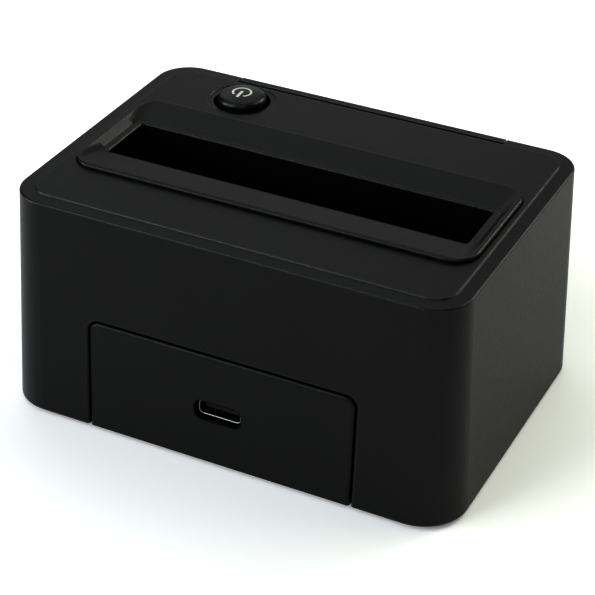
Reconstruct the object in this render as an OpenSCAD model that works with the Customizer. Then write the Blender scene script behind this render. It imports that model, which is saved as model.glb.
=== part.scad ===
// Desktop dock for one 2.5-inch drive, with a USB-C socket.
// X runs along the slot, -Y is the port side, +Y the user's front, Z is up from the feet's underside.

/* [Drive] */
// Width of the drive that the slot takes
drive_w = 69.85; // [66:0.05:76]
// Thickness of the thickest drive that the slot takes
drive_t = 12.5; // [9.5:0.5:15]
// Play on the drive's width
play_w = 3.15; // [2:0.05:5]
// Play on the drive's thickness
play_t = 0.6; // [0.3:0.1:1.5]

/* [Slot frame] */
// Width of the frame's bars at the ends of the slot
end_bar = 3.85; // [3.2:0.05:6]
// Width of the frame's bars along the slot
side_bar = 8.5; // [7:0.1:12]
// Corner radius of the frame
frame_r = 5; // [3:0.5:6]
// Height of the frame's crest above the field
crest_rise = 0.8; // [0.7:0.05:2]
// Width of the crest, from the outer wall to the inner slope
crest_w = 0.9; // [0.7:0.1:1.2]
// Rounding of the crest's outer edge
crest_r = 0.5; // [0.2:0.05:0.6]
// Drop from the crest to the mouth of the slot
mouth_drop = 1.2; // [0.6:0.05:1.6]
// Flat ledge at each end of the mouth
end_ledge = 1.5; // [1:0.1:1.8]
// Flat ledge along each side of the mouth
side_ledge = 0.7; // [0.6:0.1:2]
// Rounding of the mouth's edge
mouth_r = 0.45; // [0.2:0.05:0.5]
// Corner radius of the slot
slot_r = 0.6; // [0.6:0.1:1.5]
// Thickness of the drive bay's walls
bay_wall = 1.5; // [1:0.1:2]
// Width of the flange round the bay's skirt
bay_flange_w = 1.2; // [0.8:0.1:1.6]

/* [Housing] */
// Height of the walls
body_h = 44.35; // [42:0.05:60]
// How far each wall leans in between its bottom and top edges
draft = 1.85; // [0.5:0.05:3]
// Radius of the upright corners at the top
corner_r = 7; // [6.5:0.5:10]
// Thickness of the walls
wall = 2; // [1.6:0.1:2.4]
// Thickness of the deck at the rim
deck_t = 1.8; // [1.4:0.1:2.4]
// Width of the rim round the raised field
rim_w = 2.8; // [2.5:0.1:4.5]
// How far the rim falls from the field to the walls' top edge
rim_fall = 0.15; // [0:0.05:0.15]
// Height of the raised field above the walls' top edge
field_rise = 0.4; // [0.4:0.05:0.8]
// Rounding of the field's edge
field_edge_r = 0.2; // [0.05:0.05:0.25]
// Rounding of the walls' top edge
top_edge_r = 0.4; // [0.2:0.05:1]
// Field left beyond the ends of the frame
field_end = 1.2; // [0.6:0.1:4]
// Field between the frame and the port side
field_rear = 11.95; // [10:0.05:20]
// Field between the frame and the button side
field_front = 15.95; // [15.2:0.05:24]

/* [Base and feet] */
// Thickness of the base's floor
floor_t = 2; // [1.6:0.1:3]
// Gap between the base and the walls
base_gap = 0.25; // [0.15:0.05:0.4]
// Height of the locating lip on the floor
lip_h = 3.5; // [2:0.5:6]
// Thickness of the locating lip
lip_t = 1.2; // [0.8:0.1:1.6]
// Diameter of a foot
foot_d = 8; // [6:0.5:10]
// Height that a foot stands proud of the base
foot_stand = 1; // [0.6:0.1:2]
// Depth of the pocket that holds a foot
foot_pocket = 0.6; // [0.3:0.1:1]
// Distance from a corner screw to the foot beside it
foot_from_screw = 9.5; // [8.5:0.5:14]

/* [Port side and front] */
// Width of the port tongue
tongue_w = 53.8; // [40:0.2:58]
// Height of the port tongue
tongue_h = 22.6; // [18:0.2:30]
// Radius of the tongue's upper corners
tongue_r = 2; // [1:0.5:4]
// Gap round the tongue and the fascia
panel_gap = 0.3; // [0.15:0.05:0.5]
// Softening of the two edges beside the gap round the tongue
soft_edge = 0.5; // [0.2:0.05:0.7]
// Width of the front fascia
fascia_w = 57; // [44:1:58]
// Thickness of the fascia's outer plate
fascia_t = 1.6; // [1:0.1:1.8]
// Width of the slit behind the fascia's top edge
slit_w = 1.45; // [0.5:0.05:1.6]
// Height of the USB-C socket's middle above the bottom edge
port_z = 10.9; // [9.5:0.1:14]
// Gap between the USB-C shell and its cut-out
port_gap = 0.35; // [0.2:0.05:0.8]

/* [Power button] */
// Place of the button along the slot, from the middle
button_x = -23.8; // [-25:0.1:-22]
// Diameter of the button's cap
cap_d = 9.7; // [7:0.1:10]
// Height of the cap's middle above the field
cap_rise = 1.75; // [1.1:0.05:2.5]
// Rounding of the cap's edge
cap_edge_r = 1.1; // [0.5:0.1:1.5]
// Radius of the cap's crown
cap_crown_r = 16; // [10:1:40]
// Diameter of the hole in the deck
button_hole_d = 11.3; // [10.6:0.1:11.6]
// Diameter of the dished ring round the hole
dish_d = 13.4; // [12.4:0.1:14]
// Travel of the button
travel = 1; // [0.5:0.1:1]

/* [Boards and screws] */
// Thickness of the boards
board_t = 1.6; // [1:0.2:1.6]
// Gap between the main board and what it lies between
board_gap = 1; // [0.5:0.1:3]
// Distance from the main board to the front wall
board_front_gap = 11; // [10:0.5:13]
// Diameter of the corner screws
base_screw_d = 2.6; // [2:0.1:3]
// Diameter of the small screws
small_screw_d = 2; // [1.6:0.1:2.2]
// Height of the SATA receptacle above the board
sata_h = 8.6; // [8:0.1:10]

/* [Hidden] */
$fn = 64;

// Cuts pass a face by this much
over = 1;
// Clearances: slip for assembled pieces, run for the moving plunger, thread round a screw
slip = 0.15;
run = 0.05;
thread = 0.05;
// Rest gap between the moving cap and the deck above its flange
stop_gap = 0.3;

// Slot, frame, field and body in plan
slot_l = drive_w + play_w;
slot_w = drive_t + play_t;
frame_l = slot_l + 2 * end_bar;
frame_w = slot_w + 2 * side_bar;
field_l = frame_l + 2 * field_end;
field_w = frame_w + field_rear + field_front;
top_l = field_l + 2 * rim_w;
top_d = field_w + 2 * rim_w;
frame_y = (field_rear - field_front) / 2;
corner_x = top_l / 2 - corner_r;
corner_y = top_d / 2 - corner_r;
field_r = corner_r - rim_w;
slit_y = top_d / 2 - fascia_t - slit_w;
panel_half = max(tongue_w, fascia_w) / 2;

// Levels
z_bottom = foot_stand;
z_floor = z_bottom + floor_t;
z_rim = z_bottom + body_h;
z_field = z_rim + field_rise;
z_crest = z_field + crest_rise;
z_mouth = z_crest - mouth_drop;
z_deck = z_rim - deck_t;
lean = atan(draft / body_h);

// Screw posts and feet
post_wall = 1.9;
post_d = base_screw_d + 2 * post_wall;
small_post_wall = 1.5;
small_post_d = small_screw_d + 2 * small_post_wall;
screw_bite = 7;
small_screw_bite = 3.6;
head_gap = 0.3;
base_head_d = 5;
base_head_h = 1.8;
small_head_d = 3.8;
small_head_h = 1.3;
recess_w = 0.7;
tower_h = 3;
tower_skin = 2;
z_tower = z_floor + tower_h;
z_base_seat = z_tower - tower_skin;
tower_wall = 1;
tower_d = base_head_d + 2 * head_gap + 2 * tower_wall;
rib_t = 1.2;
rib_drop = 24;
tongue_rib_inset = 6;
foot_x = corner_x - foot_from_screw;
foot_round = 0.5;

// USB-C socket
usb_l = 8.94;
usb_h = 3.26;
usb_depth = 7.35;
usb_wall = 0.3;
usb_r = 1.1;
usb_set_back = 1;
usb_z = z_bottom + port_z;
usb_y = -wall_y(usb_z) + usb_set_back;
tongue_l = 6.7;
tongue_t = 0.7;
tongue_set_back = 1;
usb_back_t = 1.4;
contact_pitch = 0.5;
contact_w = 0.25;
contact_t = 0.05;
contact_l = 3.6;
contact_set_back = 0.4;
contacts_per_side = 12;

// Main board
z_board = usb_z - usb_h / 2;
z_board_under = z_board - board_t;
board_half = corner_x - post_d / 2 - board_gap;
board_rear = -wall_y(z_board) + wall + board_gap / 2;
board_front = wall_y(z_bottom) - wall - board_front_gap;
standoff_inset = 4;
board_holes = [for (x = [-1, 1], y = [board_rear + standoff_inset, board_front - standoff_inset])
    [x * (board_half - standoff_inset), y]];

// Components in a row across the main board
component_inset = 15;
component_row = board_rear + component_inset;
crystal_from_end = 7.15;
crystal_x = crystal_from_end - board_half;
crystal_size = [3.2, 5, 1.1];
crystal_base_t = 0.3;
crystal_step = 0.5;
crystal_r = 0.6;
bridge_chip_x = -18;
bridge_chip_size = [7, 7, 0.9];
chip_mark_d = 0.9;
chip_mark_depth = 0.1;
chip_mark_inset = 1.2;
capacitor_xs = [-6, 2];
capacitor_d = 5;
capacitor_h = 5.4;
capacitor_base_w = 5.3;
capacitor_base_h = 0.9;
capacitor_base_cut = 1;
capacitor_edge_r = 0.5;
crimp_z = 1.6;
crimp_r = 0.35;
regulator_x = 12;
regulator_size = [6.5, 3.5, 1.6];
regulator_tab_w = 3;
regulator_lead_w = 0.7;
regulator_lead_l = 1.6;
regulator_lead_t = 0.3;
regulator_lead_pitch = 2.3;
inductor_x = 20;
inductor_size = [5, 5, 2.4];
inductor_cut = 0.8;
inductor_well_d = 3.6;
inductor_well_depth = 0.3;

// SATA receptacle: the drive's connector lies a fixed distance from the drive's under face
sata_from_face = 3.5;
sata_x = 3;
sata_y = frame_y - slot_w / 2 + play_t / 2 + sata_from_face;
sata_l = 37.6;
sata_w = 5.6;
sata_proud = 0.8;
sata_foot_h = 1.6;
sata_foot_out = 0.9;
sata_foot_l = sata_l + 2 * sata_foot_out;
sata_foot_w = sata_w + 2 * sata_foot_out;
signal_pins = 7;
power_pins = 15;
pin_pitch = 1.27;
pin_w = 0.7;
pin_t = 0.3;
segment_gap = 2.4;
segment_end = 1.4;
cavity_w = 1.3;
cavity_depth = 6.2;
key_w = 1.4;
signal_l = (signal_pins - 1) * pin_pitch + 2 * segment_end;
power_l = (power_pins - 1) * pin_pitch + 2 * segment_end;
signal_x = sata_x - (power_l + segment_gap) / 2;
power_x = sata_x + (signal_l + segment_gap) / 2;
z_sata = z_board + sata_h;
z_chute = z_sata - sata_proud;
z_chute_under = z_chute - bay_wall;

// Drive bay flange and the ears that hold it
bay_boss_h = 3;
bay_flange_t = 1.6;
z_bay_flange = z_deck - bay_boss_h;
z_bay_under = z_bay_flange - bay_flange_t;
ear_out = 1.8;
ear_margin = 0.7;
ear_d = small_post_d + 2 * ear_margin;
ear_rear_y = frame_y - frame_w / 2 - bay_flange_w - ear_out;
ear_front_y = frame_y + frame_w / 2 + bay_flange_w + ear_out;
ear_inset = 7;
ear_x = slot_l / 2 - ear_inset;
ear_from_button = 17;
ear_beside_button_x = button_x + ear_from_button;
ears = [[-ear_x, ear_rear_y], [ear_x, ear_rear_y], [ear_beside_button_x, ear_front_y], [ear_x, ear_front_y]];

// Button, switch and control board
dish_edge = 0.1;
button_y = min(field_w / 2, slit_y) - dish_d / 2 - dish_edge;
dish_step = 0.15;
dish_depth = 0.25;
cap_flange_w = 0.6;
cap_flange_d = button_hole_d + 2 * cap_flange_w;
cap_flange_t = 1;
z_cap_top = z_field + cap_rise;
z_cap_flange = z_deck - stop_gap;
plunger_d = 3.4;
stem_wall = 1.1;
stem_d = plunger_d + 2 * stem_wall;
stem_h = 3.3;
socket_h = 2.6;
z_stem = z_cap_flange - cap_flange_t - stem_h;
z_plunger = z_stem + socket_h;
switch_w = 7;
switch_h = 7;
switch_top_t = 1;
switch_floor_t = 0.8;
switch_cavity_d = 5.2;
collar_d = 4.8;
collar_t = 1;
stem_clear = 0.6;
z_switch = z_stem - travel - stem_clear;
z_control = z_switch - switch_h;
z_collar = z_switch - switch_top_t - stop_gap - collar_t;
spring_wire = 0.36;
spring_d = 3.8;
spring_turns = 4;
spring_seat = 0.05;
switch_pin_pitch = 2;
switch_pin_d = 0.6;
switch_pin_places = [for (x = [-1, 0, 1], y = [-1, 1])
    [button_x + x * switch_pin_pitch, button_y + y * switch_pin_pitch]];
switch_pin_proud = 0.8;
switch_pin_l = board_t + switch_pin_proud;
control_edge = 3.5;
control_left = button_x - switch_w / 2 - control_edge;
control_right = 14;
control_front_gap = 2;
control_front = wall_y(z_control) - wall - control_front_gap;
control_rear_edge = 2;
control_rear = button_y - switch_w / 2 - control_rear_edge;
control_post_inset = 2.9;
control_post_y = control_rear + control_post_inset;
control_post_from_switch = 9;
control_posts = [[button_x + control_post_from_switch, control_post_y],
    [control_right - control_edge, control_post_y]];

// Status light and its pipe
led_l = 3;
led_w = 1.4;
led_h = 1.3;
pipe_d = 2.4;
pipe_flange_d = 3.8;
pipe_flange_t = 0.8;
pipe_proud = 0.2;
z_led = z_control + led_h / 2;
led_y = control_front - led_w;

// Flat cable between the boards
cable_w = 6;
cable_t = 0.4;
cable_x = 0;
socket_end = 1.2;
socket_l = cable_w + 2 * socket_end;
socket_w = 2.6;
socket_t = 2.2;
socket_slot = 1.2;
stub_l = 1.5;
socket_clear = 0.1;
z_control_under = z_control - board_t;
upper_socket_inset = 3.5;
lower_socket_inset = 1.9;
upper_socket_y = control_rear + upper_socket_inset;
lower_socket_y = board_front - lower_socket_inset;
cable_shift = upper_socket_y - lower_socket_y;
cable_fall = z_control_under - z_board - 2 * (socket_t - socket_slot) - 2 * (socket_slot + stub_l);
cable_turn = 2 * atan(cable_shift / cable_fall);
cable_r = cable_fall / (2 * sin(cable_turn));

// Fascia seats
fascia_seat = wall + slip;
fascia_flange_t = 1;
fascia_flange_w = 2.4;
fascia_edge_r = 0.2;
edge_grow = 0.002;

// Angle at which a softened edge meets its faces
soft_meet = 12;

// Fill in the funnel's valleys: how far it reaches up each slope, and the angle at which it meets them
valley_w = 1.5;
valley_meet = 4;
valley_fn = 128;

// Half depth of the body at a height
function wall_y(z) = top_d / 2 + draft * (z_rim - z) / body_h;

// Rounded rectangle about the origin
module rounded_rect(l, w, r) {
    square([l - 2 * r, w], center = true);
    square([l, w - 2 * r], center = true);
    for (x = [-1, 1], y = [-1, 1])
        translate([x * (l / 2 - r), y * (w / 2 - r)])
            circle(r);
}

// What a rounding takes off a corner: the wedge between two directions, outside the circle.
// Growing the circle lets it cross the faces at a shallow angle instead of touching them.
module rounding(middle, r, from, to, grow = 0) {
    half_way = (from + to) / 2;
    translate(middle)
        difference() {
            polygon([[0, 0], 2 * r * [cos(from), sin(from)], 3 * r * [cos(half_way), sin(half_way)],
                2 * r * [cos(to), sin(to)]]);
            circle(r + grow);
        }
}

// Carries a profile round a rounded rectangle whose corner centres are at (x, y).
// The profile's first coordinate is the distance out from the corner centres, its second the height.
module carry_round(x, y) {
    for (turn = [0, 180])
        rotate(turn) {
            translate([x, y, 0])
                rotate_extrude(angle = 90)
                    children();
            translate([-x, y, 0])
                rotate(90)
                    rotate_extrude(angle = 90)
                        children();
            translate([x, y, 0])
                rotate([90, 0, 0])
                    linear_extrude(2 * y)
                        children();
            translate([-x, y, 0])
                rotate([90, 0, 90])
                    linear_extrude(2 * x)
                        children();
        }
}

// Slab inside the front wall, between two depths from its leaning outer face
module front_slab(half_l, low, high, near, far) {
    translate([-half_l, 0, 0])
        rotate([90, 0, 90])
            linear_extrude(2 * half_l)
                polygon([[wall_y(low) - far, low], [wall_y(low) - near, low],
                    [wall_y(high) - near, high], [wall_y(high) - far, high]]);
}

// Outline of the port tongue, grown by a margin
module tongue_outline(margin) {
    half = tongue_w / 2 + margin;
    top = z_bottom + tongue_h + margin;
    r = tongue_r + margin;
    translate([-half, z_bottom - over])
        square([2 * half, top - r - z_bottom + over]);
    translate([-half + r, z_bottom - over])
        square([2 * half - 2 * r, top - z_bottom + over]);
    for (side = [-1, 1])
        translate([side * (half - r), top - r])
            circle(r);
}

// What softens an edge at the origin: an arc that meets both faces at a shallow angle.
// The first coordinate runs from the edge along the wall's face, the second is minus the depth.
module softening() {
    r = soft_edge / (cos(soft_meet) - sin(soft_meet));
    middle = r * cos(soft_meet);
    difference() {
        translate([-soft_edge, -middle])
            square(soft_edge + middle);
        translate([middle, -middle])
            circle(r);
    }
}

// Carries a profile along the tongue's outline, grown by a margin, on the leaning face of the wall
module carry_tongue(margin) {
    half = tongue_w / 2 + margin;
    top = (tongue_h + margin) / cos(lean);
    r = tongue_r + margin;
    translate([0, -wall_y(z_bottom), z_bottom])
        rotate([90 - lean, 0, 0]) {
            for (side = [0, 1])
                mirror([side, 0, 0])
                    translate([half - r, top - r, 0]) {
                        rotate_extrude(angle = 90)
                            translate([r, 0])
                                children();
                        rotate([90, 0, 0])
                            linear_extrude(top - r + over)
                                translate([r, 0])
                                    children();
                    }
            translate([r - half, top - r, 0])
                rotate([90, 0, 90])
                    linear_extrude(2 * (half - r))
                        translate([r, 0])
                            children();
        }
}

// Screw with its head below the seat at the origin, pointing up, with a cross recess
module screw(d, l, head_d, head_h) {
    difference() {
        union() {
            cylinder(d = d, h = l);
            translate([0, 0, -head_h])
                cylinder(d1 = head_d - head_h / 2, d2 = head_d, h = head_h);
        }
        for (turn = [0, 90])
            rotate(turn)
                translate([-head_d / 3, -recess_w / 2, -head_h - over])
                    cube([2 * head_d / 3, recess_w, head_h / 2 + over]);
    }
}

// Wall, rim, deck and raised field as one profile
module shell_profile() {
    fall = atan(rim_fall / rim_w);
    edge_reach = top_edge_r * tan((90 - fall - lean) / 2);
    edge = [corner_r, z_rim] + edge_reach * [-cos(fall), sin(fall)] - top_edge_r * [sin(fall), cos(fall)];
    inner_lean = draft * deck_t / body_h;
    difference() {
        union() {
            polygon([[0, z_bottom], [corner_r + draft, z_bottom], [corner_r, z_rim],
                [field_r, z_rim + rim_fall], [0, z_rim + rim_fall]]);
            translate([0, z_deck])
                square([field_r, z_field - z_deck]);
        }
        polygon([[-over, z_bottom - over], [corner_r + draft - wall, z_bottom - over],
            [corner_r + draft - wall, z_bottom], [corner_r + inner_lean - wall, z_deck], [-over, z_deck]]);
        rounding(edge, top_edge_r, lean, 90 - fall, edge_grow);
        rounding([field_r - field_edge_r, z_field - field_edge_r], field_edge_r, 0, 90);
    }
}

// Rib from a corner post into the leaning wall, as deep as the middle of the wall
module corner_rib() {
    low = z_deck - rib_drop;
    high = z_deck + deck_t / 2;
    rotate([90, 0, 0])
        linear_extrude(rib_t, center = true)
            polygon([[0, low], [wall_y(low) - corner_y - wall / 2, low],
                [wall_y(high) - corner_y - wall / 2, high], [0, high]]);
}

// Post under the deck, down to a level
module deck_post(at, d, low) {
    translate([at[0], at[1], low])
        cylinder(d = d, h = z_deck - low + deck_t / 2);
}

// Pilot hole in a post, from a level upward
module pilot(at, d, low, depth) {
    translate([at[0], at[1], low - over])
        cylinder(d = d + 2 * thread, h = depth + over);
}

module housing() {
    color([0.16, 0.16, 0.17])
        difference() {
            union() {
                carry_round(corner_x, corner_y)
                    shell_profile();
                translate([-corner_x, -corner_y, z_deck])
                    cube([2 * corner_x, 2 * corner_y, z_field - z_deck]);
                for (x = [-1, 1], y = [-1, 1]) {
                    deck_post([x * corner_x, y * corner_y], post_d, z_tower);
                    for (turn = [0, 90])
                        translate([x * corner_x, y * corner_y, 0])
                            mirror([x < 0 ? 1 : 0, 0, 0])
                                mirror([0, y < 0 ? 1 : 0, 0])
                                    rotate(turn)
                                        corner_rib();
                }
                for (at = ears)
                    deck_post(at, small_post_d, z_bay_flange);
                for (at = control_posts)
                    deck_post(at, small_post_d, z_control);
            }
            // opening for the slot frame
            translate([0, frame_y, z_deck - over])
                linear_extrude(z_field - z_deck + 2 * over)
                    rounded_rect(frame_l + 2 * slip, frame_w + 2 * slip, frame_r + slip);
            // dished ring and hole for the button
            translate([button_x, button_y, 0])
                rotate_extrude()
                    polygon([[0, z_deck - over], [button_hole_d / 2, z_deck - over],
                        [button_hole_d / 2, z_field - dish_depth], [dish_d / 2, z_field - dish_step],
                        [dish_d / 2, z_field + over], [0, z_field + over]]);
            // notch for the port tongue
            translate([0, -corner_y, 0])
                rotate([90, 0, 0])
                    linear_extrude(corner_r + draft + over)
                        tongue_outline(panel_gap);
            carry_tongue(panel_gap)
                softening();
            // notch for the front fascia, with the slit in the rim
            translate([-fascia_w / 2 - panel_gap, corner_y + corner_r - wall - over, z_bottom - over])
                cube([fascia_w + 2 * panel_gap, wall + draft + 2 * over, z_deck - z_bottom + over]);
            translate([-fascia_w / 2 - panel_gap, slit_y, z_deck - over])
                cube([fascia_w + 2 * panel_gap, fascia_t + slit_w + draft, z_field - z_deck + 2 * over]);
            for (x = [-1, 1], y = [-1, 1])
                pilot([x * corner_x, y * corner_y], base_screw_d, z_tower, screw_bite);
            for (at = ears)
                pilot(at, small_screw_d, z_bay_flange, small_screw_bite);
            for (at = control_posts)
                pilot(at, small_screw_d, z_control, small_screw_bite);
        }
}

// Collar of the drive bay: upright skirt with a rounded crest
module collar_profile(low) {
    difference() {
        translate([0, low])
            square([frame_r, z_crest - low]);
        rounding([frame_r - crest_r, z_crest - crest_r], crest_r, 0, 90);
    }
}

// Funnel between the crest and the mouth: four plane slopes with filled valleys between them
module funnel() {
    difference() {
        intersection() {
            rotate([90, 0, 0])
                linear_extrude(frame_w, center = true)
                    slope_outline(slot_l / 2 + end_ledge, frame_l / 2 - crest_w);
            rotate([90, 0, 90])
                linear_extrude(frame_l, center = true)
                    slope_outline(slot_w / 2 + side_ledge, frame_w / 2 - crest_w);
        }
        for (x = [0, 1], y = [0, 1])
            mirror([x, 0, 0])
                mirror([0, y, 0])
                    valley_fill();
    }
}

// Fill of the valley between an end slope and a side slope, hollow like a large cylinder
module valley_fill() {
    span = [end_bar - crest_w - end_ledge, side_bar - crest_w - side_ledge];
    along = [span[0], span[1], mouth_drop] / norm([span[0], span[1], mouth_drop]);
    end_normal = [-mouth_drop, 0, span[0]] / norm([mouth_drop, span[0]]);
    side_normal = [0, -mouth_drop, span[1]] / norm([mouth_drop, span[1]]);
    up = (end_normal + side_normal) / norm(end_normal + side_normal);
    across = cross(up, along);
    half_turn = acos(end_normal * side_normal) / 2;
    reach = valley_w * cos(half_turn);
    rise = valley_w * sin(half_turn);
    spare = rise / 4;
    r = reach / sin(half_turn - valley_meet);
    multmatrix([[across[0], up[0], along[0], slot_l / 2 + end_ledge],
        [across[1], up[1], along[1], slot_w / 2 + side_ledge],
        [across[2], up[2], along[2], z_mouth]])
        translate([0, 0, -valley_w])
            linear_extrude(norm([span[0], span[1], mouth_drop]) + 2 * valley_w)
                difference() {
                    translate([-reach - spare, -over])
                        square([2 * (reach + spare), rise + spare + over]);
                    translate([0, rise + r * cos(half_turn - valley_meet)])
                        circle(r, $fn = valley_fn);
                }
}

module slope_outline(low_half, high_half) {
    polygon([[-low_half, z_mouth], [low_half, z_mouth], [high_half, z_crest], [high_half, z_crest + over],
        [-high_half, z_crest + over], [-high_half, z_crest]]);
}

module drive_bay() {
    frame_x = frame_l / 2 - frame_r;
    frame_half = frame_w / 2 - frame_r;
    chute_l = slot_l + 2 * bay_wall;
    chute_w = slot_w + 2 * bay_wall;
    pocket_w = side_bar - 2 * bay_wall;
    color([0.15, 0.15, 0.16])
        difference() {
            union() {
                translate([0, frame_y, 0]) {
                    carry_round(frame_x, frame_half)
                        collar_profile(z_bay_under);
                    translate([-frame_x, -frame_half, z_bay_under])
                        cube([2 * frame_x, 2 * frame_half, z_crest - z_bay_under]);
                    translate([0, 0, z_bay_under])
                        linear_extrude(bay_flange_t)
                            rounded_rect(frame_l + 2 * bay_flange_w, frame_w + 2 * bay_flange_w,
                                frame_r + bay_flange_w);
                    translate([0, 0, z_chute_under])
                        linear_extrude(z_bay_under - z_chute_under + bay_flange_t)
                            rounded_rect(chute_l, chute_w, slot_r + bay_wall);
                }
                for (at = ears) {
                    translate([at[0], at[1], z_bay_under])
                        cylinder(d = ear_d, h = bay_flange_t);
                    translate([at[0] - ear_d / 2, min(at[1], at[1] - sign(at[1]) * 2 * ear_out), z_bay_under])
                        cube([ear_d, 2 * ear_out, bay_flange_t]);
                }
            }
            translate([0, frame_y, 0]) {
                funnel();
                translate([0, 0, z_chute])
                    linear_extrude(z_crest - z_chute)
                        rounded_rect(slot_l, slot_w, slot_r);
                carry_round(slot_l / 2 - slot_r, slot_w / 2 - slot_r)
                    mirror([1, 0])
                        rounding([-slot_r - mouth_r, z_mouth - mouth_r], mouth_r, 0, 90);
                for (side = [-1, 1])
                    translate([-slot_l / 2, (side * (chute_w + pocket_w) - pocket_w) / 2, z_bay_under - over])
                        cube([slot_l, pocket_w, z_mouth - bay_wall - z_bay_under + over]);
            }
            translate([sata_x - sata_l / 2 - slip, sata_y - sata_w / 2 - slip, z_chute_under - over])
                cube([sata_l + 2 * slip, sata_w + 2 * slip, bay_wall + 2 * over]);
            for (at = ears)
                pilot(at, small_screw_d, z_bay_under, bay_flange_t + over);
        }
}

module base() {
    floor_u = corner_r + draft - wall - base_gap;
    lip_u = floor_u - base_gap - draft * (floor_t + lip_h) / body_h;
    tongue_half = tongue_w / 2;
    rib_top = z_board_under - board_gap;
    color([0.15, 0.15, 0.16])
        difference() {
            union() {
                translate([0, 0, z_bottom])
                    linear_extrude(floor_t)
                        rounded_rect(2 * (corner_x + floor_u), 2 * (corner_y + floor_u), floor_u);
                difference() {
                    carry_round(corner_x, corner_y)
                        translate([lip_u - lip_t, z_floor])
                            square([lip_t, lip_h]);
                    translate([-panel_half - fascia_flange_w - 2 * over, -top_d, z_floor - over])
                        cube([2 * (panel_half + fascia_flange_w + 2 * over), 2 * top_d, lip_h + 2 * over]);
                }
                // port tongue, flush with the leaning wall
                intersection() {
                    translate([0, over, 0])
                        rotate([90, 0, 0])
                            linear_extrude(top_d)
                                tongue_outline(0);
                    mirror([0, 1, 0])
                        front_slab(tongue_half + over, z_bottom, z_rim, 0, wall);
                }
                translate([-tongue_half, -wall_y(z_bottom) + wall, z_bottom])
                    cube([tongue_w, wall + base_gap, floor_t]);
                // ribs that stiffen the tongue
                for (side = [-1, 1])
                    translate([side * (tongue_half - tongue_rib_inset) - rib_t / 2, 0, 0])
                        rotate([90, 0, 90])
                            linear_extrude(rib_t)
                                polygon([[-wall_y(z_bottom) + wall - slip, z_bottom],
                                    [-wall_y(z_rim) + 2 * wall, z_floor],
                                    [-wall_y(z_rim) + wall, rib_top],
                                    [-wall_y(rib_top) + wall / 2, rib_top]]);
                for (x = [-1, 1], y = [-1, 1])
                    translate([x * corner_x, y * corner_y, z_bottom])
                        cylinder(d = tower_d, h = z_tower - z_bottom);
                for (at = board_holes)
                    translate([at[0], at[1], z_bottom])
                        cylinder(d = small_post_d, h = z_board_under - z_bottom);
            }
            translate([0, -corner_y, usb_z])
                rotate([90, 0, 0])
                    linear_extrude(corner_r + draft + over)
                        usb_outline(port_gap);
            carry_tongue(0)
                mirror([1, 0])
                    softening();
            for (x = [-1, 1], y = [-1, 1]) {
                translate([x * corner_x, y * corner_y, z_bottom - over]) {
                    cylinder(d = base_head_d + 2 * head_gap, h = z_base_seat - z_bottom + over);
                    cylinder(d = base_screw_d + 2 * slip, h = z_tower - z_bottom + 2 * over);
                }
                translate([x * foot_x, y * corner_y, z_bottom - over])
                    cylinder(d = foot_d + 2 * slip, h = foot_pocket + over);
            }
            for (at = board_holes)
                pilot(at, small_screw_d, z_board_under - screw_bite, screw_bite + over);
        }
}

module front_fascia() {
    half = fascia_w / 2;
    edge = [wall_y(z_rim) - fascia_edge_r * (1 - sin(lean)) / cos(lean), z_rim - fascia_edge_r];
    color([0.13, 0.13, 0.14])
        difference() {
            union() {
                front_slab(half, z_bottom, z_rim, 0, fascia_t);
                front_slab(half, z_floor, z_deck - slip, fascia_t / 2, fascia_seat);
                for (side = [-1, 1])
                    translate([side * half, 0, 0])
                        front_slab(fascia_flange_w, z_floor, z_deck - slip, fascia_seat,
                            fascia_seat + fascia_flange_t);
            }
            translate([-half - over, 0, 0])
                rotate([90, 0, 90])
                    linear_extrude(fascia_w + 2 * over)
                        rounding(edge, fascia_edge_r, lean, 90);
            translate([0, corner_y, z_led])
                rotate([-90, 0, 0])
                    cylinder(d = pipe_d + 2 * run, h = corner_r + draft + over);
        }
}

module light_pipe() {
    face = wall_y(z_led);
    back = face - fascia_seat - draft * pipe_flange_d / body_h / 2;
    dome_r = pipe_d;
    color([0.75, 0.8, 0.85])
        translate([0, back - pipe_flange_t, z_led])
            rotate([-90, 0, 0])
                rotate_extrude() {
                    square([pipe_flange_d / 2, pipe_flange_t]);
                    intersection() {
                        square([pipe_d / 2, face - back + pipe_flange_t + pipe_proud]);
                        translate([0, face - back + pipe_flange_t + pipe_proud - dome_r])
                            circle(dome_r);
                    }
                    square([pipe_d / 2, face - back + pipe_flange_t - pipe_proud]);
                }
}

// Rubber foot with a rounded lower edge
module foot(x, y) {
    color([0.1, 0.1, 0.1])
        translate([x * foot_x, y * corner_y, 0])
            rotate_extrude()
                difference() {
                    square([foot_d / 2, foot_stand + foot_pocket]);
                    rounding([foot_d / 2 - foot_round, foot_round], foot_round, -90, 0);
                }
}

module foot_rear_left() { foot(-1, -1); }
module foot_rear_right() { foot(1, -1); }
module foot_front_left() { foot(-1, 1); }
module foot_front_right() { foot(1, 1); }

module base_screws() {
    color([0.3, 0.3, 0.32])
        for (x = [-1, 1], y = [-1, 1])
            translate([x * corner_x, y * corner_y, z_base_seat])
                screw(base_screw_d, tower_skin + screw_bite - head_gap, base_head_d, base_head_h);
}

module bay_screws() {
    color([0.7, 0.7, 0.72])
        for (at = ears)
            translate([at[0], at[1], z_bay_under])
                screw(small_screw_d, bay_flange_t + small_screw_bite - head_gap, small_head_d, small_head_h);
}

module board_screws() {
    color([0.7, 0.7, 0.72])
        for (at = board_holes)
            translate([at[0], at[1], z_board])
                rotate([180, 0, 0])
                    screw(small_screw_d, board_t + small_screw_bite, small_head_d, small_head_h);
}

module control_board_screws() {
    color([0.7, 0.7, 0.72])
        for (at = control_posts)
            translate([at[0], at[1], z_control_under])
                screw(small_screw_d, board_t + small_screw_bite - head_gap, small_head_d, small_head_h);
}

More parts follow.
